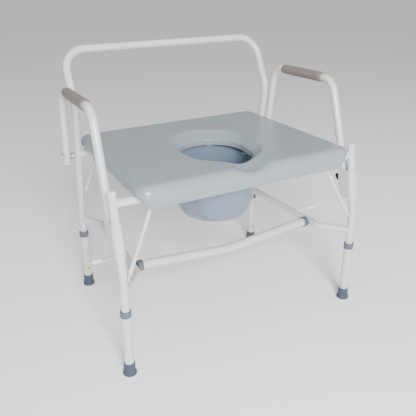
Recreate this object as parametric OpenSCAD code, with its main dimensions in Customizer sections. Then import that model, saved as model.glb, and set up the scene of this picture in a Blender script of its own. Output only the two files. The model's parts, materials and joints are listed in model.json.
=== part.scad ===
// Bariatric drop-arm commode chair: steel tube frame on four telescoping legs, a moulded seat
// with a pail under it, a plug-in backrest, and two armrests that unlatch and swing down.
// The front faces -Y, +Z is up, and the origin is on the floor below the middle of the frame.

/* [Frame] */
// Distance between the axes of the two front legs
front_span = 734; // [724:2:740]
// Distance between the axes of the two rear legs
rear_span = 650; // [650:1:654]
// Outside diameter of the frame tubes
tube_d = 22.2; // [21.8:0.1:22.4]
// Wall thickness of every steel tube
tube_wall = 1.5; // [1.2:0.1:1.8]
// Height of the two bars that carry the seat
crossbar_z = 475; // [474:0.5:476]
// Height of the low side rails and of the stretcher's ends
rail_z = 243; // [238:1:248]
// How far the middle of the stretcher dips below its ends
stretcher_dip = 22; // [15:1:30]

/* [Legs] */
// Outside diameter of the sliding leg extensions
extension_d = 25.4; // [25.4:0.1:25.8]
// Distance between two height settings
hole_pitch = 25.4; // [25:0.1:25.4]
// Number of height settings
hole_count = 5; // [4:1:5]
// Radius of the rubber feet at the floor
foot_r = 18.5; // [17:0.5:18.5]

/* [Seat] */
// Height of the seat's top face
seat_top = 518; // [516:0.5:520]
// Radius of the seat's rounded top edge
seat_edge_r = 24; // [20:1:26]
// Radius of the pail below its rim
pail_r = 128; // [120:1:128]
// Depth of the pail
pail_depth = 163; // [140:1:165]

/* [Arms and back] */
// Height of the arm pads' axis above the floor
arm_z = 672; // [665:1:678]
// Diameter of the arm pads
pad_d = 30; // [28:1:32]
// Height of the backrest's top bar
back_z = 760; // [750:1:765]

/* [Hidden] */
$fn = 48;
cut = 1;
gap = 0.3;
lap = 1;
hair = 0.1;
tube_r = tube_d / 2;
bore_r = tube_r - tube_wall;

// front leg: vertical below the bend, leaning back above it
front_x = front_span / 2;
front_y = -248;
front_bend_z = 297;
front_top_y = -210;
front_top_z = 502;
front_lean = atan2(front_top_y - front_y, front_top_z - front_bend_z);

// rear leg: vertical below the bend, leaning forward above it
rear_x = rear_span / 2;
rear_y = 230;
rear_bend_z = 270;
rear_top_y = 188;
rear_top_z = 536;
rear_lean = atan2(rear_top_y - rear_y, rear_top_z - rear_bend_z);
leg_bend_r = 90;
leg_end_z = 40;

function front_leg_y(z) = front_y + max(0, z - front_bend_z) * tan(front_lean);
function rear_leg_y(z) = rear_y + max(0, z - rear_bend_z) * tan(rear_lean);

// telescoping extension, its collar, foot and spring button
extension_bore_r = tube_r + 0.4;
extension_bottom = 6;
extension_top = 196;
button_z = 64;
button_r = 3.5;
hole_r = 3.9;
button_out = 2;
collar_r = 14.6;
collar_z0 = 180;
collar_h = 19;
foot_h = 37;

// side rails, stop rods and stretcher
rail_rear_corner = [284, 158];
rail_front_corner = [299, -178];
rail_bend_r = 45;
stop_y = -54;
stop_z = rail_z - 1.5;
stop_r = 4.75;
stop_end_x = 373;
stop_tip_end_x = 387;
stop_tip_r = 5.5;
stretcher_y = -134;
stretcher_r = 12.7;
ring_r = 15.5;
ring_w = 14;

// crossbars and braces
front_brace_r = 5.5;
rear_brace_r = 4.75;
brace_bolt_r = 3;
brace_hole_r = 3.1;
front_brace_top_x = 254;
rear_brace_top_x = 258;
front_brace_foot_z = 290;
rear_brace_foot_z = 333;
tab_h = 24;
tab_w = 14;
tab_t = 3;
brace_rod_in = 12.5;

// armrests: all of an arm lies in one upright plane, which toes out a little towards the front.
// arm_x is that plane's distance from the middle at the pivot; drawn at x = 0 inside at_arm().
arm_toe_out = 1.2;
arm_x = front_x - 8;
pivot_y = 200;
pivot_z = 466;
arm_rear_foot = [203.3, 446];
arm_rear_corner = [173, arm_z - 3];
arm_front_corner = [-106, arm_z + 3];
arm_front_foot = [-207, 376];
arm_bend_r = 48;
pivot_bolt_r = 4;
pivot_bore_r = 4.06;
pad_y0 = -66;
pad_y1 = 122;
front_tube_tilt = atan2(arm_front_corner[0] - arm_front_foot[0], arm_front_corner[1] - arm_front_foot[1]);

// latch bracket on the front leg, and the lever in the foot of the arm's front tube
bracket_t = 2;
bracket_half_w = 14.3;
bracket_z0 = 346;
bracket_z1 = 430;
bracket_back = 41;
ledge_h = 4;
ledge_s = 52;
ledge_depth = 5.3;
lever_t = 3;
lever_s = 12;
lever_pin_r = 2.5;
lever_bore_r = 2.56;

// backrest
back_kink_z = 610;
back_kink_y = rear_leg_y(back_kink_z);
back_y = 255.4;
back_kink_r = 70;
back_corner_r = 62;
plug_len = 45;
plug_r = bore_r - 0.05;

// seat
seat_front_y = -266;
seat_rear_y = 243;
seat_front_half = 321;
seat_rear_half = 311;
seat_bottom = 459;
seat_taper = 10;
seat_wall = 4;
seat_corner_r = 34;
// the opening's outline is an oval between a rear and a front circle: at the deck, and at its wall
opening_rear_y = -18;
opening_front_y = -86;
opening_wall_rear_y = -41;
opening_deck_r = [118, 114];
opening_wall_r = [95, 90];
funnel_h = 20;
ring_gap = 3;
notch_half_w = 13;
side_skirt_z = 476;
front_skirt_y = -240;
dip_depth = 15;
dip_r = 84;

// pail and its rails
pail_y = -50;
pail_rim_z = 479;
pail_rim_r = 137;
pail_wall = 2.5;
pail_floor_r = 92;
pail_rail_x0 = 130;
pail_rail_w = 16;
pail_rail_t = 3;
pail_rail_top = pail_rim_z - 3;

sides = [-1, 1];
steel = [0.86, 0.86, 0.82];
zinc = [0.72, 0.73, 0.74];
slate = [0.45, 0.52, 0.60];

// ---- tube helpers: a bent tube is straight lengths and arcs in the XY plane ----

function turn_of(a, b, c) =
    let (u = b - a, v = c - b)
    atan2(u[0] * v[1] - u[1] * v[0], u[0] * v[0] + u[1] * v[1]);
function way(a, b) = (b - a) / norm(b - a);
function setback(pts, i, bend) =
    (i == 0 || i == len(pts) - 1) ? 0 : bend[i] * tan(abs(turn_of(pts[i - 1], pts[i], pts[i + 1])) / 2) - lap;
// The same path, run on past both of its ends
function overrun(pts) = [
    for (i = [0 : len(pts) - 1])
        i == 0 ? pts[0] - cut * way(pts[0], pts[1])
        : i == len(pts) - 1 ? pts[i] + cut * way(pts[i - 1], pts[i])
        : pts[i]
];

// A length of round rod from a to b, in the XY plane
module straight(a, b, r) {
    d = b - a;
    translate([a[0], a[1], 0])
        rotate([0, 0, atan2(d[1], d[0])])
            rotate([0, 90, 0])
                cylinder(h = norm(d), r = r);
}

// The bend of a rod at b, on its way from a to c; a hair thicker, so that it laps the straight lengths
module bend_arc(a, b, c, bend, r) {
    turn = turn_of(a, b, c);
    side = sign(turn);
    d = way(a, b);
    start = b - d * bend * tan(abs(turn) / 2);
    centre = start + side * bend * [-d[1], d[0]];
    first = atan2(start[1] - centre[1], start[0] - centre[0]);
    translate([centre[0], centre[1], 0])
        rotate([0, 0, side > 0 ? first : first + turn])
            rotate_extrude(angle = abs(turn))
                translate([bend, 0])
                    circle(r = r + hair);
}

// A bent rod through the points pts, with bend[i] as the centre-line radius at point i
module bent_rod(pts, bend, r) {
    last = len(pts) - 1;
    for (i = [0 : last - 1]) {
        d = way(pts[i], pts[i + 1]);
        straight(pts[i] + d * setback(pts, i, bend), pts[i + 1] - d * setback(pts, i + 1, bend), r);
    }
    for (i = [1 : 1 : last - 1])
        bend_arc(pts[i - 1], pts[i], pts[i + 1], bend[i], r);
}

module bent_tube(pts, bend, outer, inner) {
    difference() {
        bent_rod(pts, bend, outer);
        bent_rod(overrun(pts), bend, inner);
    }
}

// Puts a shape drawn in the XY plane into the upright plane x = at, with its X as Y and its Y as Z
module upright(at) {
    translate([at, 0, 0])
        rotate([0, 0, 90])
            rotate([90, 0, 0])
                children();
}

// A round bar along X
module bar_x(x0, x1, y, z, r) {
    translate([min(x0, x1), y, z])
        rotate([0, 90, 0])
            cylinder(h = abs(x1 - x0), r = r);
}

module ring_x(x0, x1, y, z, outer, inner) {
    difference() {
        bar_x(x0, x1, y, z, outer);
        bar_x(min(x0, x1) - cut, max(x0, x1) + cut, y, z, inner);
    }
}

// ---- frame legs ----

front_leg_points = [[front_y, leg_end_z], [front_y, front_bend_z], [front_top_y, front_top_z]];
rear_leg_points = [[rear_y, leg_end_z], [rear_y, rear_bend_z], [rear_top_y, rear_top_z]];
leg_bends = [0, leg_bend_r, 0];

module front_leg(side) {
    color(steel)
        difference() {
            upright(side * front_x)
                bent_tube(front_leg_points, leg_bends, tube_r, bore_r);
            translate([side * front_x, front_y, button_z])
                rotate([-90, 0, 0])
                    cylinder(h = tube_r + cut, r = hole_r);
        }
}

module rear_leg(side) {
    color(steel)
        difference() {
            upright(side * rear_x)
                bent_tube(rear_leg_points, leg_bends, tube_r, bore_r);
            translate([side * rear_x, rear_y, button_z])
                rotate([90, 0, 0])
                    cylinder(h = tube_r + cut, r = hole_r);
            at_arm(side)
                bar_x(rear_x - arm_x - tube_r - cut, rear_x - arm_x + tube_r + cut, pivot_y, pivot_z, pivot_bore_r);
        }
}

module leg_solid(side, front) {
    upright(side * (front ? front_x : rear_x))
        bent_rod(front ? front_leg_points : rear_leg_points, leg_bends, tube_r + hair);
}

module leg_caps() {
    color(steel)
        for (side = sides)
            translate([side * front_x, front_top_y, front_top_z])
                rotate([-front_lean, 0, 0]) {
                    cylinder(h = 2.5, r = tube_r);
                    translate([0, 0, -12])
                        cylinder(h = 12, r = bore_r);
                }
}

// ---- side rails, stop rods, crossbars ----

function rail_points(side) = [
    [side * rear_x, rear_y],
    [side * rail_rear_corner[0], rail_rear_corner[1]],
    [side * rail_front_corner[0], rail_front_corner[1]],
    [side * front_x, front_y]
];
// Distance of the rail's straight run from the middle plane, at a given y
function rail_x(y) =
    rail_rear_corner[0] + (rail_front_corner[0] - rail_rear_corner[0])
    * (y - rail_rear_corner[1]) / (rail_front_corner[1] - rail_rear_corner[1]);

module side_rail(side) {
    color(steel)
        difference() {
            translate([0, 0, rail_z])
                bent_tube(rail_points(side), [0, rail_bend_r, rail_bend_r, 0], tube_r, bore_r);
            leg_solid(side, true);
            leg_solid(side, false);
            bar_x(side * (rail_x(stretcher_y) - 20), side * (rail_x(stretcher_y) + 20),
                stretcher_y, rail_z, brace_hole_r);
            bar_x(side * (rail_x(stop_y) - 20), side * (rail_x(stop_y) + 20), stop_y, stop_z, stop_r + hair);
        }
}

module stop_rods() {
    color(steel)
        for (side = sides)
            bar_x(side * (rail_x(stop_y) - tube_r - 2), side * stop_end_x, stop_y, stop_z, stop_r);
}

module stop_rod_tips() {
    color([0.9, 0.9, 0.88])
        for (side = sides)
            difference() {
                bar_x(side * (stop_end_x - 14), side * stop_tip_end_x, stop_y, stop_z, stop_tip_r);
                bar_x(side * (stop_end_x - 14 - cut), side * stop_end_x, stop_y, stop_z, stop_r);
            }
}

module front_crossbar() {
    y = front_leg_y(crossbar_z);
    color(steel)
        difference() {
            ring_x(-front_x, front_x, y, crossbar_z, tube_r, bore_r);
            for (side = sides)
                leg_solid(side, true);
            for (side = sides)
                translate([side * front_brace_top_x, y, crossbar_z - tube_r - cut])
                    cylinder(h = 2 * tube_r + 2 * cut, r = brace_hole_r);
        }
}

module rear_crossbar() {
    y = rear_leg_y(crossbar_z - 6);
    color(steel)
        difference() {
            ring_x(-rear_x, rear_x, y, crossbar_z - 6, tube_r, bore_r);
            for (side = sides)
                leg_solid(side, false);
            for (side = sides)
                translate([side * rear_brace_top_x, y, crossbar_z - 6 - tube_r - cut])
                    cylinder(h = 2 * tube_r + 2 * cut, r = brace_hole_r);
        }
}

// ---- diagonal braces: a round rod with a flat tab at each end ----

// A round rod between two points in space
module rod(a, b, r) {
    d = b - a;
    translate(a)
        rotate([0, acos(d[2] / norm(d)), atan2(d[1], d[0])])
            cylinder(h = norm(d), r = r);
}

module brace(side, top_x, top_y, top_z, foot_x, foot_y, foot_z, r) {
    // the top tab lies flat under the crossbar, the foot is a tab welded to the leg's inner side
    tab_z = top_z - tube_r - gap - tab_t;
    foot_in = foot_x - tube_r - tab_t - 0.05;
    color(steel)
        difference() {
            union() {
                translate([side * top_x - tab_w * 0.9, top_y - tab_w / 2, tab_z])
                    cube([1.8 * tab_w, tab_w, tab_t]);
                translate([side > 0 ? foot_in : -foot_in - tab_t, foot_y - tab_w / 2, foot_z - tab_h / 2])
                    cube([tab_t, tab_w, tab_h]);
                rod([side * (top_x + brace_rod_in), top_y, tab_z + tab_t / 2],
                    [side * (foot_in - 4.2), foot_y, foot_z + tab_h / 2 - 4], r);
            }
            translate([side * top_x, top_y, tab_z - cut])
                cylinder(h = tab_t + 2 * cut, r = brace_hole_r);
            // keeps the rod clear of the crossbar above it
            translate([side * top_x - 40, top_y - 20, tab_z + tab_t])
                cube([80, 40, 30]);
        }
}

module front_brace(side) {
    brace(side, front_brace_top_x, front_leg_y(crossbar_z), crossbar_z,
        front_x, front_leg_y(front_brace_foot_z), front_brace_foot_z, front_brace_r);
}

module rear_brace(side) {
    brace(side, rear_brace_top_x, rear_leg_y(crossbar_z - 6), crossbar_z - 6,
        rear_x, rear_leg_y(rear_brace_foot_z), rear_brace_foot_z, rear_brace_r);
}

// ---- stretcher between the side rails ----

stretcher_end_x = rail_x(stretcher_y) - tube_r - gap - ring_w + 6;

module lower_stretcher() {
    color(steel)
        translate([0, stretcher_y, 0])
            rotate([90, 0, 0])
                bent_tube([[-stretcher_end_x, rail_z], [-stretcher_end_x + 30, rail_z],
                        [0, rail_z - stretcher_dip], [stretcher_end_x - 30, rail_z],
                        [stretcher_end_x, rail_z]],
                    [0, 120, 500, 120, 0], stretcher_r, stretcher_r - tube_wall);
}

module stretcher_rings() {
    inner = rail_x(stretcher_y) - tube_r - gap;
    color(slate)
        for (side = sides)
            difference() {
                bar_x(side * (inner - ring_w), side * inner, stretcher_y, rail_z, ring_r);
                bar_x(side * (inner - ring_w - cut), side * (inner - ring_w + 6), stretcher_y, rail_z, stretcher_r);
                bar_x(side * (inner - ring_w), side * (inner + cut), stretcher_y, rail_z, brace_hole_r);
            }
}

// ---- bolts and nuts of the frame ----

nut_r = 5.8;
nut_h = 5;

module hex_x(x0, x1, y, z, hole) {
    difference() {
        translate([min(x0, x1), y, z])
            rotate([0, 90, 0])
                cylinder(h = abs(x1 - x0), r = nut_r, $fn = 6);
        if (hole > 0)
            bar_x(min(x0, x1) - cut, max(x0, x1) + cut, y, z, hole);
    }
}

module hex_z(x, y, z0, hole) {
    translate([x, y, z0])
        difference() {
            cylinder(h = nut_h, r = nut_r, $fn = 6);
            if (hole > 0)
                translate([0, 0, -cut])
                    cylinder(h = nut_h + 2 * cut, r = hole);
        }
}

// One upright bolt through a crossbar and a brace's top tab: head on top, nut below
module top_bolt(x, y, z, nut) {
    top = z + tube_r + gap;
    tab = z - tube_r - gap - tab_t;
    if (nut)
        hex_z(x, y, tab - nut_h, brace_bolt_r);
    else {
        translate([x, y, top])
            cylinder(h = 2.5, r = nut_r);
        translate([x, y, tab - nut_h - 2])
            cylinder(h = top - tab + nut_h + 2, r = brace_bolt_r);
    }
}

// One bolt along X through a side rail, a ring and into the stretcher's end
module stretcher_bolt(side, nut) {
    outer = rail_x(stretcher_y) + tube_r + gap;
    if (nut)
        hex_x(side * outer, side * (outer + nut_h), stretcher_y, rail_z, brace_bolt_r);
    else {
        bar_x(side * (stretcher_end_x - 12), side * (outer + nut_h + 2), stretcher_y, rail_z, brace_bolt_r);
        bar_x(side * (stretcher_end_x - 4), side * (stretcher_end_x - 1), stretcher_y, rail_z,
            stretcher_r - tube_wall - hair);
    }
}

module fasteners(nut) {
    color(zinc)
        for (side = sides) {
            top_bolt(side * front_brace_top_x, front_leg_y(crossbar_z), crossbar_z, nut);
            top_bolt(side * rear_brace_top_x, rear_leg_y(crossbar_z - 6), crossbar_z - 6, nut);
            stretcher_bolt(side, nut);
        }
}

module frame_bolts() {
    fasteners(false);
}

module frame_nuts() {
    fasteners(true);
}

// ---- backrest ----

back_lean = atan2(back_y - back_kink_y, back_z - back_kink_z);
back_rise = norm([back_y - back_kink_y, back_z - back_kink_z]);
// Length of the leaning side taken up by the kink
kink_setback = back_kink_r * tan((back_lean - rear_lean) / 2);

module backrest_rod(r, over) {
    stub = [rear_top_y, rear_top_z];
    kink = [back_kink_y, back_kink_z];
    lean_way = [sin(back_lean), cos(back_lean)];
    for (side = sides)
        upright(side * rear_x) {
            straight(stub - over * way(stub, kink), kink - (kink_setback - lap) * way(stub, kink), r);
            bend_arc(stub, kink, kink + lean_way, back_kink_r, r);
        }
    // the leaning part of the U, drawn flat and then tilted about the kink
    translate([0, back_kink_y, back_kink_z])
        rotate([90 - back_lean, 0, 0])
            bent_rod([[-rear_x, kink_setback - lap], [-rear_x, back_rise], [rear_x, back_rise],
                    [rear_x, kink_setback - lap]],
                [0, back_corner_r, back_corner_r, 0], r);
}

module backrest_tube() {
    color(steel) {
        difference() {
            backrest_rod(tube_r, 0);
            backrest_rod(bore_r, cut);
        }
        // reduced ends that plug into the rear legs
        for (side = sides)
            translate([side * rear_x, rear_top_y, rear_top_z])
                rotate([-rear_lean, 0, 0])
                    rotate_extrude()
                        polygon([[plug_r - tube_wall, -plug_len], [plug_r, -plug_len], [plug_r, 1],
                            [bore_r + 0.6, 1], [bore_r + 0.6, 12], [plug_r - tube_wall, 12]]);
    }
}

// ---- armrests ----

arm_points = [arm_rear_foot, arm_rear_corner, arm_front_corner, arm_front_foot];

// Places children in an arm's own plane, x = 0, with +X pointing away from the middle on both sides
module at_arm(side) {
    translate([side * arm_x, pivot_y, 0])
        rotate([0, 0, side * arm_toe_out])
            translate([0, -pivot_y, 0])
                mirror([side > 0 ? 0 : 1, 0, 0])
                    children();
}

// Places children in the frame of an arm's front tube: origin at its foot, Z up the tube, +Y to the rear
module at_front_tube(side) {
    at_arm(side)
        translate([0, arm_front_foot[0], arm_front_foot[1]])
            rotate([-front_tube_tilt, 0, 0])
                children();
}

module armrest_tube(side) {
    color(steel)
        difference() {
            at_arm(side)
                upright(0)
                    bent_tube(arm_points, [0, arm_bend_r, arm_bend_r, 0], tube_r, bore_r);
            at_arm(side)
                bar_x(-tube_r - cut, tube_r + cut, pivot_y, pivot_z, pivot_bore_r);
            at_front_tube(side) {
                // slots for the lever, at the rear and at the front of the tube
                translate([-lever_t / 2 - gap, 0, 4])
                    cube([lever_t + 2 * gap, tube_r + cut, 34]);
                translate([-lever_t / 2 - gap, -tube_r - cut, 16])
                    cube([lever_t + 2 * gap, tube_r + cut, 14]);
                translate([-tube_r - cut, 0, lever_s])
                    rotate([0, 90, 0])
                        cylinder(h = 2 * tube_r + 2 * cut, r = lever_pin_r);
            }
        }
}

module arm_pad(side) {
    end_len = 9;
    slope = atan2(arm_front_corner[1] - arm_rear_corner[1], arm_front_corner[0] - arm_rear_corner[0]);
    pad_len = pad_y1 - pad_y0;
    mid_z = arm_rear_corner[1] + (arm_front_corner[1] - arm_rear_corner[1])
        * (pad_y1 - arm_rear_corner[0]) / (arm_front_corner[0] - arm_rear_corner[0]);
    color([0.55, 0.51, 0.48])
        at_arm(side)
            translate([0, pad_y1, mid_z])
                rotate([slope + 90, 0, 0])
                    mirror([0, 0, 1])
                        rotate_extrude()
                            polygon([[tube_r, 0], [tube_r + 1.5, 0], [pad_d / 2, end_len],
                                [pad_d / 2, pad_len - end_len], [tube_r + 1.5, pad_len], [tube_r, pad_len]]);
}

module arm_plug(side) {
    rise = arm_rear_corner - arm_rear_foot;
    color([0.9, 0.9, 0.88])
        at_arm(side)
            translate([0, arm_rear_foot[0], arm_rear_foot[1]])
                rotate([-atan2(rise[0], rise[1]), 0, 0]) {
                    translate([0, 0, -3])
                        cylinder(h = 3, r = tube_r);
                    cylinder(h = 10, r = bore_r);
                }
}

// ---- armrest pivots: drawn in the arm's own plane, where the rear leg is on the inner side ----

leg_centre = rear_x - arm_x;
pivot_gap_in = leg_centre + tube_r + gap;
pivot_gap_out = -tube_r - gap;
washer_t = 1.6;
pivot_nut_h = 6;
pivot_head_t = 5;
// the head is small enough to sit inside the end of the rear crossbar
pivot_head_r = 6;
spacer_r = 8.5;
washer_r = 10.5;
pivot_nut_r = 7.5;
pivot_nut_start = tube_r + 2 * gap + washer_t;

module pivot_bolts() {
    head = leg_centre - tube_r - gap;
    color(zinc)
        for (side = sides)
            at_arm(side) {
                bar_x(head - pivot_head_t / 2, pivot_nut_start + pivot_nut_h + 2, pivot_y, pivot_z, pivot_bolt_r);
                bar_x(head - pivot_head_t, head, pivot_y, pivot_z, pivot_head_r);
            }
}

module pivot_spacers() {
    color(zinc)
        for (side = sides)
            at_arm(side)
                ring_x(pivot_gap_in, pivot_gap_out - washer_t - gap, pivot_y, pivot_z, spacer_r, pivot_bore_r);
}

module pivot_washers() {
    color(zinc)
        for (side = sides)
            at_arm(side) {
                ring_x(pivot_gap_out - washer_t, pivot_gap_out, pivot_y, pivot_z, washer_r, pivot_bore_r);
                ring_x(tube_r + gap, tube_r + gap + washer_t, pivot_y, pivot_z, washer_r, pivot_bore_r);
            }
}

module pivot_nuts() {
    color(zinc)
        for (side = sides)
            at_arm(side)
                difference() {
                    translate([pivot_nut_start, pivot_y, pivot_z])
                        rotate([0, 90, 0])
                            cylinder(h = pivot_nut_h, r = pivot_nut_r, $fn = 6);
                    bar_x(pivot_nut_start - cut, pivot_nut_start + pivot_nut_h + cut, pivot_y, pivot_z,
                        pivot_bolt_r);
                }
}

// ---- arm latches ----

// Places children in the frame of a front leg's leaning part: origin on its axis at z, Z along the leg
module at_front_leg(side, z) {
    translate([side * front_x, front_leg_y(z), z])
        rotate([-front_lean, 0, 0])
            children();
}

module bracket_outline(inset) {
    union() {
        circle(r = bracket_half_w - inset);
        translate([-bracket_half_w + inset, 0])
            square([2 * (bracket_half_w - inset), bracket_back + inset]);
    }
}

module latch_brackets() {
    rise = (bracket_z1 - bracket_z0) / cos(front_lean);
    color(steel)
        for (side = sides)
            at_front_leg(side, bracket_z0)
                difference() {
                    union() {
                        difference() {
                            linear_extrude(rise)
                                bracket_outline(0);
                            translate([0, 0, -cut])
                                linear_extrude(rise + 2 * cut)
                                    bracket_outline(bracket_t);
                        }
                        // ledge under the lever's tooth, and a ring that ties the sleeve to the leg
                        for (z = [0, rise - bracket_t])
                            translate([0, 0, z])
                                linear_extrude(bracket_t)
                                    circle(r = bracket_half_w - bracket_t / 2);
                        translate([-bracket_half_w + bracket_t / 2, 0, ledge_s])
                            cube([2 * bracket_half_w - bracket_t, tube_r + ledge_depth, ledge_h]);
                    }
                    translate([0, 0, -cut])
                        cylinder(h = rise + 2 * cut, r = tube_r);
                    // the lower rear corners of the cheeks are cut away
                    translate([-bracket_half_w - cut, tube_r + 3, 0])
                        rotate([-38, 0, 0])
                            translate([0, 0, -60])
                                cube([2 * bracket_half_w + 2 * cut, 90, 60]);
                }
}

module latch_lever(side) {
    color(zinc)
        at_front_tube(side)
            difference() {
                union() {
                    translate([lever_t / 2, 0, 0])
                        rotate([0, -90, 0])
                            linear_extrude(lever_t)
                                polygon([[6, -3], [6, 5], [9, 15.5], [11, 21], [28, 29], [30, 24], [24, 15.5],
                                    [24.5, 6], [24.5, -17.3], [20, -16.8], [19.5, -3]]);
                }
                translate([-lever_t, 0, lever_s])
                    rotate([0, 90, 0])
                        cylinder(h = 2 * lever_t, r = lever_bore_r);
            }
}

module latch_knob(side) {
    color([0.08, 0.08, 0.09])
        at_front_tube(side)
            difference() {
                translate([0, 23.5, 13])
                    rotate([-22, 0, 0])
                        rotate_extrude()
                            polygon([[0, 0], [4, 0], [6.5, 8], [8, 15], [7.6, 20], [5, 24.5], [0, 26]]);
                translate([lever_t / 2, 0, 0])
                    rotate([0, -90, 0])
                        linear_extrude(lever_t)
                            polygon([[9, 15.5], [11, 21], [28, 29], [30, 24], [24, 15.5]]);
            }
}

module latch_pin(side) {
    color(zinc)
        at_front_tube(side)
            translate([-tube_r + 0.4, 0, lever_s])
                rotate([0, 90, 0])
                    cylinder(h = 2 * tube_r - 0.8, r = lever_pin_r);
}

// ---- leg extensions ----

// Places children at a leg's lower axis: side is -1 or 1, and +Y in the children's frame points
// to the inside of the frame, where the holes are
module at_leg(side, front) {
    translate([side * (front ? front_x : rear_x), front ? front_y : rear_y, 0])
        rotate([0, 0, front ? 0 : 180])
            children();
}

module extension(side, front) {
    color(steel)
        at_leg(side, front)
            difference() {
                translate([0, 0, extension_bottom])
                    cylinder(h = extension_top - extension_bottom, r = extension_d / 2);
                translate([0, 0, extension_bottom - cut])
                    cylinder(h = extension_top - extension_bottom + 2 * cut, r = extension_bore_r);
                for (i = [0 : hole_count - 1])
                    translate([0, 0, button_z + i * hole_pitch])
                        rotate([-90, 0, 0])
                            cylinder(h = extension_d, r = hole_r);
            }
}

module collar(side, front) {
    inside = tube_r + 0.08;
    color(slate)
        at_leg(side, front)
            rotate_extrude()
                polygon([[extension_d / 2, collar_z0], [collar_r - 0.8, collar_z0], [collar_r, collar_z0 + 2],
                    [collar_r, collar_z0 + collar_h - 2], [collar_r - 1.5, collar_z0 + collar_h],
                    [inside, collar_z0 + collar_h], [inside, extension_top], [extension_d / 2, extension_top]]);
}

module foot(side, front) {
    color(slate)
        at_leg(side, front)
            rotate_extrude()
                polygon([[0, 0], [foot_r - 1.5, 0], [foot_r, 2], [foot_r, 5], [foot_r - 2.4, 12],
                    [foot_r - 3.6, 22], [foot_r - 3.6, foot_h - 2], [foot_r - 4.6, foot_h],
                    [extension_d / 2, foot_h], [extension_d / 2, extension_bottom], [0, extension_bottom]]);
}

module spring_clip(side, front) {
    back = bore_r - 2;
    color([0.78, 0.6, 0.3])
        at_leg(side, front) {
            translate([0, 5, button_z])
                rotate([-90, 0, 0])
                    cylinder(h = extension_d / 2 + button_out - 5, r = button_r);
            // a leaf bent into a V, its fold at the top and its free ends at the bottom
            translate([-3.5, 0, button_z])
                rotate([90, 0, 90])
                    linear_extrude(7)
                        polygon([[5.8, -8], [5.8, 8], [0.6, 34], [-0.6, 34], [-back, -8], [-back + 0.9, -8],
                            [0, 30], [5, 7], [5, -8]]);
        }
}

// ---- seat ----

// Rounded block of the seat, inset on every side and lowered at the top by the given amounts
module seat_block(inset, drop) {
    top_r = max(4, seat_edge_r - inset);
    post_r = seat_corner_r - inset;
    hull() {
        for (side = sides)
            for (end = [0, 1]) {
                half = (end == 0 ? seat_front_half : seat_rear_half) - inset;
                y = end == 0 ? seat_front_y + inset : seat_rear_y - inset;
                way = end == 0 ? 1 : -1;
                translate([side * (half - post_r), y + way * post_r, 0]) {
                    translate([0, 0, seat_top - drop - top_r])
                        rotate_extrude($fn = 32)
                            intersection() {
                                translate([post_r - top_r, 0])
                                    circle(r = top_r, $fn = 32);
                                square(post_r + 1);
                            }
                    translate([0, 0, seat_bottom - (inset > 0 ? cut : 0)])
                        cylinder(h = 1, r = post_r - seat_taper, $fn = 32);
                }
            }
    }
}

module opening_oval(grow) {
    hull() {
        translate([0, opening_wall_rear_y, seat_top - funnel_h])
            cylinder(h = 1, r = opening_wall_r[0] + grow, $fn = 64);
        translate([0, opening_front_y, seat_top - funnel_h])
            cylinder(h = 1, r = opening_wall_r[1] + grow, $fn = 64);
        translate([0, opening_rear_y, seat_top + 0.5])
            cylinder(h = 1, r = opening_deck_r[0] + grow, $fn = 64);
        translate([0, opening_front_y, seat_top + 0.5])
            cylinder(h = 1, r = opening_deck_r[1] + grow, $fn = 64);
    }
}

module opening_wall(grow, z0, h) {
    hull() {
        translate([0, opening_wall_rear_y, z0])
            cylinder(h = h, r = opening_wall_r[0] + grow, $fn = 64);
        translate([0, opening_front_y, z0])
            cylinder(h = h, r = opening_wall_r[1] + grow, $fn = 64);
    }
}

// Trough of the dip in the seat's front edge, made larger by grow
module front_dip(grow) {
    translate([0, seat_front_y - 10, seat_top - dip_depth + dip_r])
        rotate([-90, 0, 0])
            cylinder(h = 130, r = dip_r + grow, $fn = 96);
}

module seat() {
    ring_bottom = pail_rim_z + ring_gap;
    color([0.72, 0.76, 0.78])
        difference() {
            union() {
                difference() {
                    seat_block(0, 0);
                    difference() {
                        seat_block(seat_wall, seat_wall);
                        front_dip(seat_wall);
                    }
                }
                // the funnel round the opening hangs from the deck
                intersection() {
                    union() {
                        opening_oval(seat_wall);
                        opening_wall(seat_wall, ring_bottom, seat_top - funnel_h - ring_bottom + 1);
                    }
                    translate([-400, -400, ring_bottom])
                        cube([800, 800, seat_top - ring_bottom]);
                }
            }
            opening_oval(0);
            opening_wall(0, ring_bottom - cut, 20);
            front_dip(0);
            // notches that let the crossbars pass under the deck
            for (y = [front_leg_y(crossbar_z), rear_leg_y(crossbar_z - 6)])
                translate([-400, y - notch_half_w, seat_bottom - 5])
                    cube([800, 2 * notch_half_w, crossbar_z + tube_r + 1 - seat_bottom + 5]);
            // the side and rear skirts stop short of the front one
            translate([-400, front_skirt_y, seat_bottom - 5])
                cube([800, 600, side_skirt_z - seat_bottom + 5]);
        }
}

// ---- pail and its rails ----

module pail() {
    z0 = pail_rim_z - pail_depth;
    color(slate)
        translate([0, pail_y, 0])
            rotate_extrude()
                difference() {
                    polygon(concat([[0, z0]], pail_wall_points(0), [[pail_rim_r, pail_rim_z - 2.5],
                        [pail_rim_r, pail_rim_z], [0, pail_rim_z]]));
                    polygon(concat([[0, z0 + pail_wall]], pail_wall_points(pail_wall), [[0, pail_rim_z + cut]]));
                }
}
// Side of the pail from its floor up: a quarter of an ellipse between the floor and the rim
function pail_wall_points(inset) = [
    for (a = [0 : 7.5 : 90])
        [pail_floor_r - inset + (pail_r - pail_floor_r) * sin(a),
         pail_rim_z - (pail_depth - inset) * (1 - (1 - cos(a))) + (a >= 90 && inset > 0 ? cut : 0)]
];

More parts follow.
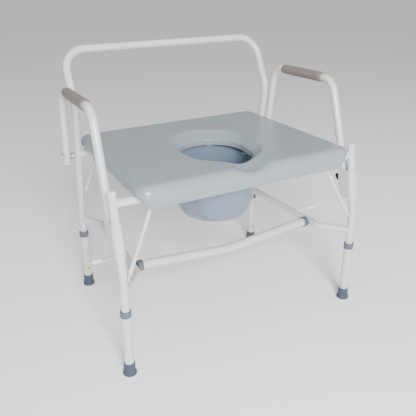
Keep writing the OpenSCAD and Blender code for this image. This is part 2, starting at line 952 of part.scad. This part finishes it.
module pail_rails() {
    y0 = front_leg_y(crossbar_z);
    y1 = rear_leg_y(crossbar_z - 6);
    color(zinc)
        for (side = sides)
            difference() {
                translate([side > 0 ? pail_rail_x0 : -pail_rail_x0 - pail_rail_w, y0, pail_rail_top - pail_rail_t])
                    cube([pail_rail_w, y1 - y0, pail_rail_t]);
                bar_x(-rear_x, rear_x, y0, crossbar_z, tube_r);
                bar_x(-rear_x, rear_x, y1, crossbar_z - 6, tube_r);
            }
}

front_leg(-1);  // front_leg_left
front_leg(1);  // front_leg_right
rear_leg(-1);  // rear_leg_left
rear_leg(1);  // rear_leg_right
side_rail(-1);  // side_rail_left
side_rail(1);  // side_rail_right
stop_rods();
stop_rod_tips();
front_crossbar();
rear_crossbar();
front_brace(-1);  // front_brace_left
front_brace(1);  // front_brace_right
rear_brace(-1);  // rear_brace_left
rear_brace(1);  // rear_brace_right
lower_stretcher();
stretcher_rings();
frame_bolts();
frame_nuts();
leg_caps();
backrest_tube();
pail_rails();
armrest_tube(-1);  // armrest_tube_left
armrest_tube(1);  // armrest_tube_right
arm_pad(-1);  // arm_pad_left
arm_pad(1);  // arm_pad_right
arm_plug(-1);  // arm_plug_left
arm_plug(1);  // arm_plug_right
pivot_bolts();
pivot_spacers();
pivot_washers();
pivot_nuts();
latch_brackets();
latch_lever(-1);  // latch_lever_left
latch_lever(1);  // latch_lever_right
latch_knob(-1);  // latch_knob_left
latch_knob(1);  // latch_knob_right
latch_pin(-1);  // latch_pin_left
latch_pin(1);  // latch_pin_right
extension(-1, true);  // extension_front_left
extension(1, true);  // extension_front_right
extension(-1, false);  // extension_rear_left
extension(1, false);  // extension_rear_right
collar(-1, true);  // collar_front_left
collar(1, true);  // collar_front_right
collar(-1, false);  // collar_rear_left
collar(1, false);  // collar_rear_right
foot(-1, true);  // foot_front_left
foot(1, true);  // foot_front_right
foot(-1, false);  // foot_rear_left
foot(1, false);  // foot_rear_right
spring_clip(-1, true);  // spring_clip_front_left
spring_clip(1, true);  // spring_clip_front_right
spring_clip(-1, false);  // spring_clip_rear_left
spring_clip(1, false);  // spring_clip_rear_right
seat();
pail();
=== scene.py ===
import json
import math

import bmesh
import bpy
from mathutils import Matrix, Vector


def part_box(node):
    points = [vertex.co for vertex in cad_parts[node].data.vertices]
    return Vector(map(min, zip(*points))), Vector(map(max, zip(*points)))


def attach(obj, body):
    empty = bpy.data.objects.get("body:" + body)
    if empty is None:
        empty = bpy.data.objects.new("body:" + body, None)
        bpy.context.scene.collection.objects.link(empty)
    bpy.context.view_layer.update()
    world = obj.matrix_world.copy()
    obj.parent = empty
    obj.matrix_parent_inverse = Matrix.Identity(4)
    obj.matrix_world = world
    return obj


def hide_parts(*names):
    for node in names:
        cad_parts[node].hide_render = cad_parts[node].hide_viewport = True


# The looks of a drop-arm commode chair. Shapes are worked out in millimetres, like the CAD, and
# turned into metres when their mesh is made.

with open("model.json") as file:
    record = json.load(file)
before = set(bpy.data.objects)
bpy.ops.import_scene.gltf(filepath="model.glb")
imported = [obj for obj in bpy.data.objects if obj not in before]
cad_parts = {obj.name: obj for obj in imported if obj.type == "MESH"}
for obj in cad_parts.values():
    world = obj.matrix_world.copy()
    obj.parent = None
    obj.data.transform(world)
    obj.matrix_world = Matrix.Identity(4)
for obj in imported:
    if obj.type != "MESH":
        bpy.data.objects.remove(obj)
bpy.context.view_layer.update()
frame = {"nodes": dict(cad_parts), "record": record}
NODES = frame["nodes"]
SIDES = ("left", "right")
ENDS = ("front", "rear")
MM = 0.001


def box_mm(node):
    """The lower and upper corners of a CAD node's box, in millimetres."""
    lo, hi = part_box(node)
    return lo / MM, hi / MM


# ---------------------------------------------------------------- materials

BUMP_DEPTH = 0.0003
BUMP_DETAIL = 3
MOTTLE_SCALE = 6


def noise(tree, scale):
    """A noise texture laid out in the piece's own coordinates."""
    coords = tree.nodes.new("ShaderNodeTexCoord")
    texture = tree.nodes.new("ShaderNodeTexNoise")
    texture.inputs["Scale"].default_value = scale
    tree.links.new(coords.outputs["Object"], texture.inputs["Vector"])
    return texture


def material(name, color, rough, metallic=0.0, coat=0.0, coat_rough=0.1, spec=0.5,
             bump=0.0, bump_scale=300.0, mottle=0.0):
    """A procedural material: base colour, with an optional fine bump and a faint change of tone."""
    mat = bpy.data.materials.new(name)
    mat.use_nodes = True
    tree = mat.node_tree
    bsdf = tree.nodes["Principled BSDF"]
    bsdf.inputs["Base Color"].default_value = (*color, 1)
    bsdf.inputs["Roughness"].default_value = rough
    bsdf.inputs["Metallic"].default_value = metallic
    bsdf.inputs["Coat Weight"].default_value = coat
    bsdf.inputs["Coat Roughness"].default_value = coat_rough
    bsdf.inputs["Specular IOR Level"].default_value = spec
    if bump:
        grain = noise(tree, bump_scale)
        grain.inputs["Detail"].default_value = BUMP_DETAIL
        relief = tree.nodes.new("ShaderNodeBump")
        relief.inputs["Strength"].default_value = bump
        relief.inputs["Distance"].default_value = BUMP_DEPTH
        tree.links.new(grain.outputs["Fac"], relief.inputs["Height"])
        tree.links.new(relief.outputs["Normal"], bsdf.inputs["Normal"])
    if mottle:
        # in a mix of colours, inputs 6 and 7 are the two colours and output 2 is the result
        mix = tree.nodes.new("ShaderNodeMix")
        mix.data_type = "RGBA"
        mix.inputs[6].default_value = (*[c * (1 - mottle) for c in color], 1)
        mix.inputs[7].default_value = (*[min(1, c * (1 + mottle)) for c in color], 1)
        tree.links.new(noise(tree, MOTTLE_SCALE).outputs["Fac"], mix.inputs[0])
        tree.links.new(mix.outputs[2], bsdf.inputs["Base Color"])
    return mat


MATS = {
    "frame_paint": material("frame_paint", (0.56, 0.56, 0.53), 0.30, coat=0.25, coat_rough=0.2,
                            bump=0.12, bump_scale=900, mottle=0.015),
    "zinc": material("zinc", (0.55, 0.57, 0.60), 0.36, metallic=0.85, bump=0.2, bump_scale=700),
    "pale_plastic": material("pale_plastic", (0.74, 0.74, 0.74), 0.45),
    "slate_plastic": material("slate_plastic", (0.080, 0.10, 0.13), 0.4, bump=0.1, bump_scale=500),
    "foot_rubber": material("foot_rubber", (0.050, 0.061, 0.092), 0.62, spec=0.35, bump=0.3,
                            bump_scale=450, mottle=0.05),
    "pad_foam": material("pad_foam", (0.185, 0.157, 0.142), 0.5, spec=0.4, bump=0.25,
                         bump_scale=260, mottle=0.04),
    "knob_plastic": material("knob_plastic", (0.008, 0.008, 0.009), 0.18, coat=0.4),
    "clip_brass": material("clip_brass", (0.62, 0.36, 0.10), 0.35, metallic=0.8),
    "seat_plastic": material("seat_plastic", (0.225, 0.267, 0.290), 0.30, coat=0.08, coat_rough=0.2,
                             bump=0.06, bump_scale=420),
    "pail_plastic": material("pail_plastic", (0.130, 0.172, 0.232), 0.16, coat=0.5, coat_rough=0.06),
}
SLOT_OF = {s["node"]: s["material_slot"] for s in frame["record"]["subparts"]}

for node_name, cad in NODES.items():
    cad.data.materials.clear()
    cad.data.materials.append(MATS[SLOT_OF[node_name]])


# ---------------------------------------------------------------- mesh helpers

WELD = 1e-6  # metres


def new_object(name, verts, faces, smooth=True):
    """A mesh object from points in millimetres."""
    mesh = bpy.data.meshes.new(name)
    mesh.from_pydata([tuple(Vector(v) * MM) for v in verts], [], faces)
    mesh.validate()
    bm = bmesh.new()
    bm.from_mesh(mesh)
    bmesh.ops.remove_doubles(bm, verts=bm.verts, dist=WELD)
    bmesh.ops.recalc_face_normals(bm, faces=bm.faces)
    bm.to_mesh(mesh)
    bm.free()
    if smooth:
        mesh.shade_smooth()
    obj = bpy.data.objects.new(name, mesh)
    bpy.context.scene.collection.objects.link(obj)
    return obj


def quads(turns, n, closed=True):
    """Faces between neighbouring sections of n points, with the last section joined to the first."""
    faces = []
    for i in range(turns):
        j = (i + 1) % turns
        for k in range(n if closed else n - 1):
            m = (k + 1) % n
            faces.append((i * n + k, j * n + k, j * n + m, i * n + m))
    return faces


def lathe(name, profile, place, steps, closed=True):
    """Turns (radius, height) points about Z and puts the result in place. A closed profile is a ring."""
    verts = []
    for i in range(steps):
        a = 2 * math.pi * i / steps
        verts += [place @ Vector((r * math.cos(a), r * math.sin(a), z)) for r, z in profile]
    return new_object(name, verts, quads(steps, len(profile), closed))


def arc(cr, cz, r, a0, a1, steps):
    """Points of an arc in a lathe profile, centred on (cr, cz), with angles in degrees."""
    angles = [math.radians(a0 + (a1 - a0) * i / steps) for i in range(steps + 1)]
    return [(cr + r * math.cos(a), cz + r * math.sin(a)) for a in angles]


def along(start, way):
    """Puts a lathe's Z axis along way, from start."""
    return Matrix.Translation(start) @ way.to_track_quat("Z", "Y").to_matrix().to_4x4()


def subdivide(obj):
    sub = obj.modifiers.new("round", "SUBSURF")
    sub.levels = sub.render_levels = 1


def put(obj, body, slot_name, node):
    """Gives the piece its material, ties it to its body and lets it stand for its CAD node."""
    obj.data.materials.clear()
    obj.data.materials.append(MATS[slot_name])
    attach(obj, body)
    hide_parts(node)


# ---------------------------------------------------------------- seat

SEAT_LO, SEAT_HI = box_mm("seat")
TOP = SEAT_HI.z
EDGE_R = 24  # rounding of the deck's outer edge
CORNER_R = 34
TAPER = 10  # how far the skirt leans in from its top to its lower edge
WALL = 4
FRONT_HALF = SEAT_HI.x
REAR_HALF = SEAT_HI.x - 10
SECTIONS = 300
CENTRE = Vector((0, -60))  # the point that every section of the seat starts from
BEYOND = 600.0  # further from CENTRE than any part of the seat
HALVINGS = 34

# the opening's wall and its lip are ovals: (rear y, rear radius, front y, front radius)
WALL_OVAL = (-41, 95, -86, 90)
LIP_OVAL = (-18, 117, -86, 113)
WALL_BOTTOM = TOP - 35.6
FUNNEL_FOOT = TOP - 19.4
FUNNEL_RISE = 17.9
LIP_W = 8

DIP_DEPTH = 17
DIP_HALF_W = 60
DIP_START_Y = -135
DIP_RUN = 110
DIP_FULLNESS = 0.7  # below 1, the dip keeps its depth further out from the middle

# the skirts are notched over the two bars that carry the seat
FRONT_BAR_LO, FRONT_BAR_HI = box_mm("front_crossbar")
REAR_BAR_LO, REAR_BAR_HI = box_mm("rear_crossbar")
FRONT_BAR_Y = (FRONT_BAR_LO.y + FRONT_BAR_HI.y) / 2
REAR_BAR_Y = (REAR_BAR_LO.y + REAR_BAR_HI.y) / 2
OVER_FRONT_BAR = FRONT_BAR_HI.z + 1
OVER_REAR_BAR = REAR_BAR_HI.z + 1
NOTCH_HALF_W = 13
SIDE_SKIRT = SEAT_LO.z + 17


def outline_distance(p):
    """Signed distance to the seat's outline seen from above, negative inside."""
    half_front, half_rear = FRONT_HALF - CORNER_R, REAR_HALF - CORNER_R
    y_front, y_rear = SEAT_LO.y + CORNER_R, SEAT_HI.y - CORNER_R
    corners = [Vector((-half_front, y_front)), Vector((half_front, y_front)),
               Vector((half_rear, y_rear)), Vector((-half_rear, y_rear))]
    nearest, inside = math.inf, True
    for i, a in enumerate(corners):
        edge, w = corners[(i + 1) % 4] - a, p - a
        t = max(0, min(1, w.dot(edge) / edge.dot(edge)))
        nearest = min(nearest, (w - edge * t).length)
        if edge.x * w.y - edge.y * w.x < 0:
            inside = False
    return (-nearest if inside else nearest) - CORNER_R


def oval_distance(p, y_rear, r_rear, y_front, r_front):
    """Signed distance to the shape that two circles on the middle line span, negative inside."""
    steps = 60
    nearest = math.inf
    for i in range(steps + 1):
        t = i / steps
        middle = Vector((0, y_front + (y_rear - y_front) * t))
        nearest = min(nearest, (p - middle).length - (r_front + (r_rear - r_front) * t))
    return nearest


def ray_to(way, distance):
    """How far along way from CENTRE the distance first turns positive, by halving."""
    lo, hi = 0.0, BEYOND
    for _ in range(HALVINGS):
        mid = (lo + hi) / 2
        if distance(CENTRE + way * mid) > 0:
            hi = mid
        else:
            lo = mid
    return lo


def ramp(x, start, run):
    """0 up to start, 1 from start + run on, and smooth between them."""
    t = max(0.0, min(1.0, (x - start) / run))
    return t * t * (3 - 2 * t)


def dip(x, y):
    """How far the front of the deck is pressed down at this point."""
    across = 0.5 * (1 + math.cos(math.pi * min(1, abs(x) / DIP_HALF_W)))
    return DIP_DEPTH * across ** DIP_FULLNESS * ramp(-y, -DIP_START_Y, DIP_RUN)


def skirt_bottom(y):
    """Lower edge of the skirt: full depth at the front, rounded up at the corners, and raised
    over the front crossbar before it drops back to the side skirt's own depth. A second, lower
    notch passes the rear crossbar."""
    rise = (OVER_FRONT_BAR - SEAT_LO.z) * ramp(y, SEAT_LO.y + 0.5, 22)
    fall = (OVER_FRONT_BAR - SIDE_SKIRT) * ramp(y, FRONT_BAR_Y + 12, 50)
    notch = (OVER_REAR_BAR - SIDE_SKIRT) * (1 - ramp(abs(y - REAR_BAR_Y), NOTCH_HALF_W, 8))
    return SEAT_LO.z + rise - fall + notch


def outline_ways(count):
    """Directions from CENTRE to points that are evenly spaced along the seat's outline."""
    fine = 720
    angles = [2 * math.pi * i / fine for i in range(fine)]
    ways = [Vector((math.cos(a), math.sin(a))) for a in angles]
    points = [CENTRE + way * ray_to(way, outline_distance) for way in ways]
    length = [0.0]
    for i in range(fine):
        length.append(length[-1] + (points[(i + 1) % fine] - points[i]).length)
    picks, k = [], 0
    for i in range(count):
        while length[k + 1] < length[-1] * i / count:
            k += 1
        picks.append(ways[k])
    return picks


def seat_section(way):
    """The shell's closed section in one direction from CENTRE: up the wall of the opening, out over
    the deck, down the skirt and back along the underside."""
    def reach(inset):
        return ray_to(way, lambda p: outline_distance(p) + inset)

    wall = ray_to(way, lambda p: oval_distance(p, *WALL_OVAL))
    lip = ray_to(way, lambda p: oval_distance(p, *LIP_OVAL))
    deck = reach(EDGE_R)
    bottom = skirt_bottom((CENTRE + way * reach(0)).y)
    edge_z = TOP - EDGE_R
    section = []

    def at(r, z, press=1.0):
        """Adds a point at distance r and height z, lowered by the share press of the dip there."""
        p = CENTRE + way * r
        section.append(Vector((p.x, p.y, z - press * dip(p.x, p.y))))

    # the opening's wall and the crisp foot of the funnel above it
    at(wall, WALL_BOTTOM)
    at(wall, WALL_BOTTOM + 2)
    for out, depth, press in ((0.1, 21, 0.5), (0.3, 19.8, 0.55), (1.6, 18.8, 0.6)):
        at(wall + out, TOP - depth, press)
    for t in (0.3, 0.6, 0.85):
        at(wall + (lip - wall) * t, FUNNEL_FOOT + FUNNEL_RISE * t, 0.6 + 0.4 * t)
    # the rolled lip and the deck
    for out, depth in ((-0.8, 1.9), (0.2, 1.1), (1.6, 0.4), (4, 0.05)):
        at(lip + out, TOP - depth)
    for t in (0.2, 0.45, 0.7, 0.9):
        at(lip + LIP_W + (deck - lip - LIP_W) * t, TOP)
    # the rounded outer edge and the skirt, where the dip fades out
    for degrees in range(0, 91, 15):
        a = math.radians(degrees)
        at(reach(EDGE_R - EDGE_R * math.sin(a)), edge_z + EDGE_R * math.cos(a), 1 - degrees / 150)
    for t in (0.3, 0.65, 0.93):
        at(reach(TAPER * t), edge_z - (edge_z - bottom) * t, 0.4 * (1 - t))
    for inset, up in ((0, 0.6), (1.2, 0), (2.8, 0), (WALL, 1)):
        at(reach(TAPER + inset), bottom + up, 0)
    # the underside
    at(reach(TAPER + WALL - 3), edge_z, 0.4)
    at(reach(EDGE_R / 2 + WALL), TOP - 12, 0.8)
    at(reach(EDGE_R + WALL), TOP - WALL - 1)
    for t in (0.7, 0.35, 0.1):
        at(lip + WALL + (deck - lip - WALL) * t, TOP - WALL - 0.5)
    at(wall + WALL + (lip - wall) / 2, TOP - 16, 0.6)
    at(wall + WALL, TOP - 25, 0.3)
    at(wall + WALL - 1, WALL_BOTTOM + 1)
    at(wall + 1.5, WALL_BOTTOM - 0.2)
    return section


def seat_shell():
    sections = [seat_section(way) for way in outline_ways(SECTIONS)]
    verts = [p for section in sections for p in section]
    obj = new_object("seat_shell", verts, quads(len(sections), len(sections[0])))
    subdivide(obj)
    put(obj, "seat", "seat_plastic", "seat")


seat_shell()


# ---------------------------------------------------------------- pail

def pail_bowl():
    """The bowl, with heights from its floor: a quarter ellipse up to a turned-out rim, with a small
    step inside, below an upright band."""
    lo, hi = box_mm("pail")
    mid = (lo + hi) / 2
    rim_z = hi.z - lo.z
    rim_r = (hi.x - lo.x) / 2
    rim_t = 3
    bowl_r, floor_r, wall = 127, 90, 2.5
    angles = (10, 16, 24, 32, 40, 50, 60, 70)

    def side(inset, degrees):
        a = math.radians(degrees)
        return (floor_r - inset + (bowl_r - floor_r) * math.sin(a), rim_z - (rim_z - inset) * math.cos(a))

    outer = [(0, 2), (50, 1.6), (60, 0), (floor_r - 16, 0)]
    outer += [side(0, a) for a in angles + (78, 84)]
    outer += [(bowl_r + 0.5, rim_z - 9), (bowl_r + 3, rim_z - 4), (rim_r - rim_t, rim_z - rim_t)]
    rim = arc(rim_r - rim_t / 2, rim_z - rim_t / 2, rim_t / 2, -90, 90, 4)
    inner = [(rim_r - 4, rim_z), (bowl_r + 1, rim_z - 0.4), (bowl_r - 2.2, rim_z - 2.2),
             (bowl_r - 3.2, rim_z - 7), (bowl_r - 3.6, rim_z - 19), (bowl_r - 6.8, rim_z - 22)]
    inner += [side(wall, a) for a in reversed(angles)]
    inner += [(floor_r - 18, wall), (0, wall)]
    place = Matrix.Translation((mid.x, mid.y, lo.z))
    obj = lathe("pail_bowl", outer + rim + inner, place, 96, closed=False)
    subdivide(obj)
    put(obj, "pail", "pail_plastic", "pail")


pail_bowl()


# ---------------------------------------------------------------- arm pads

def pad_axis(side):
    """Ends of the pad's axis, from the CAD pad's own vertices: the middle of each end ring."""
    points = [v.co / MM for v in NODES["arm_pad_" + side].data.vertices]
    front_y = min(p.y for p in points)
    rear_y = max(p.y for p in points)
    ring_w = 3

    def middle(ring):
        return Vector(((min(p.x for p in ring) + max(p.x for p in ring)) / 2,
                       sum(p.y for p in ring) / len(ring),
                       (min(p.z for p in ring) + max(p.z for p in ring)) / 2))
    return (middle([p for p in points if p.y < front_y + ring_w]),
            middle([p for p in points if p.y > rear_y - ring_w]))


def arm_pad(side):
    """A foam sleeve on the arm's tube, with tapered ends and a slightly uneven skin."""
    front, rear = pad_axis(side)
    long = (rear - front).length
    bore_r, full_r, end_len = 11.15, 14.9, 12
    waves, wave_depth, wave_step = 14, 0.12, 2.1
    near_end = [(bore_r, 0.3), (bore_r + 1, 0), (bore_r + 1.9, 0.8), (full_r - 1.2, 7.5),
                (full_r - 0.3, 9.5), (full_r, end_len)]
    skin = [(full_r - wave_depth * (1 + math.cos(i * wave_step)),
             end_len + (long - 2 * end_len) * i / waves) for i in range(1, waves)]
    far_end = [(r, long - z) for r, z in reversed(near_end)]
    place = along(front, (rear - front).normalized())
    obj = lathe("grip_" + side, near_end + skin + far_end, place, 48)
    put(obj, "arm_" + side, "pad_foam", "arm_pad_" + side)


for side in SIDES:
    arm_pad(side)


# ---------------------------------------------------------------- feet and collars

FOOT_BORE_R = 12.72
COLLAR_BORE_R = 12.75
COLLAR_TOP_R = 11.2  # where the collar closes in on the leg


def upright_node(node):
    """Where an upright round node stands, its radius and its height."""
    lo, hi = box_mm(node)
    mid = (lo + hi) / 2
    return Matrix.Translation((mid.x, mid.y, lo.z)), (hi.x - lo.x) / 2, hi.z - lo.z


def foot(end, side):
    """A rubber cup that flares to the floor and stands on a ring."""
    node = f"foot_{end}_{side}"
    place, r, tall = upright_node(node)
    floor_t = 6
    profile = [(0, 1.2), (r - 7, 1.2), (r - 6.5, 0), (r - 1.4, 0), (r - 0.3, 0.8), (r, 2.4), (r, 5.5),
               (r - 0.6, 7.6), (r - 2.2, 11.5), (r - 3.1, 17), (r - 3.5, 24), (r - 3.6, tall - 2.5),
               (r - 3.9, tall - 0.8), (r - 4.7, tall), (FOOT_BORE_R + 0.3, tall),
               (FOOT_BORE_R, tall - 0.6), (FOOT_BORE_R, floor_t), (0, floor_t)]
    obj = lathe(f"foot_cup_{end}_{side}", profile, place, 56, closed=False)
    put(obj, f"extension_{end}_{side}", "foot_rubber", node)


def collar(end, side):
    """A ring on the top of the extension that closes in on the leg above it."""
    node = f"collar_{end}_{side}"
    place, r, tall = upright_node(node)
    profile = [(COLLAR_BORE_R, 0), (r - 0.9, 0), (r - 0.2, 0.5), (r, 1.6), (r, tall * 0.55),
               (r - 0.05, tall - 3), (r - 0.4, tall - 1.4), (r - 1.3, tall - 0.2), (r - 1.9, tall),
               (COLLAR_TOP_R + 0.2, tall), (COLLAR_TOP_R, tall - 0.3), (COLLAR_TOP_R, tall - 2.9),
               (COLLAR_BORE_R, tall - 3)]
    obj = lathe(f"collar_ring_{end}_{side}", profile, place, 56)
    put(obj, f"extension_{end}_{side}", "slate_plastic", node)


for end in ENDS:
    for side in SIDES:
        foot(end, side)
        collar(end, side)


# ---------------------------------------------------------------- knobs

ARM_TUBE_TILT = 18.67  # degrees the arm's front tube leans back
KNOB_LEAN = 22  # degrees the knob leans further back than the tube
KNOB_LONG = 26


def knob(side):
    """A teardrop finger knob, over the CAD knob's own axis."""
    node = "latch_knob_" + side
    lo, hi = box_mm(node)
    tilt = math.radians(ARM_TUBE_TILT + KNOB_LEAN)
    way = Vector((0, math.sin(tilt), math.cos(tilt)))
    profile = [(0, 0), (2.6, 0.1), (4.2, 0.9), (5.4, 3.8), (6.5, 8), (7.5, 12.5), (7.9, 16.5),
               (7.2, 20.5), (5.4, 23.6), (2.8, 25.4), (0, 25.9)]
    place = along((lo + hi) / 2 - way * KNOB_LONG / 2, way)
    obj = lathe("knob_" + side, profile, place, 40, closed=False)
    put(obj, "latch_" + side, "knob_plastic", node)


for side in SIDES:
    knob(side)


# ---------------------------------------------------------------- floor, light and camera

FLOOR_HALF = 8000


def studio_floor():
    corners = [(x * FLOOR_HALF, y * FLOOR_HALF, 0) for x, y in ((-1, -1), (1, -1), (1, 1), (-1, 1))]
    obj = new_object("studio_floor", corners, [(0, 1, 2, 3)], smooth=False)
    obj.data.materials.append(material("floor_paint", (0.97, 0.97, 0.97), 0.9, spec=0.1))


studio_floor()

# places and sizes from here on are in metres
AIM = Vector((0, 0, 0.45))


def area_light(name, place, size, power):
    data = bpy.data.lights.new(name, "AREA")
    data.shape = "RECTANGLE"
    data.size, data.size_y = size
    data.energy = power
    obj = bpy.data.objects.new(name, data)
    bpy.context.scene.collection.objects.link(obj)
    obj.location = place
    obj.rotation_euler = (AIM - Vector(place)).to_track_quat("-Z", "Y").to_euler()


area_light("key", (-0.9, -3.0, 1.9), (1.1, 1.0), 250)
area_light("top", (-0.6, -0.4, 3.2), (1.4, 1.4), 14)
area_light("fill", (2.8, -1.2, 1.9), (1.2, 2.0), 14)

WORLD_STRENGTH = 0.62
world = bpy.data.worlds.new("studio")
world.use_nodes = True
world.node_tree.nodes["Background"].inputs["Color"].default_value = (1.0, 1.0, 1.0, 1)
world.node_tree.nodes["Background"].inputs["Strength"].default_value = WORLD_STRENGTH
bpy.context.scene.world = world

CAMERA_PLACE = (-0.73025, -1.32308, 0.98692)
CAMERA_DOWN = 0.42753  # radians below level
CAMERA_TURN = 0.50814  # radians from +Y towards +X
LENS_MM = 46.636
SENSOR_MM = 36

cam_data = bpy.data.cameras.new("camera")
cam_data.sensor_width = SENSOR_MM
cam_data.lens = LENS_MM
camera = bpy.data.objects.new("camera", cam_data)
bpy.context.scene.collection.objects.link(camera)
camera.location = CAMERA_PLACE
camera.rotation_euler = (math.pi / 2 - CAMERA_DOWN, 0, -CAMERA_TURN)
bpy.context.scene.camera = camera
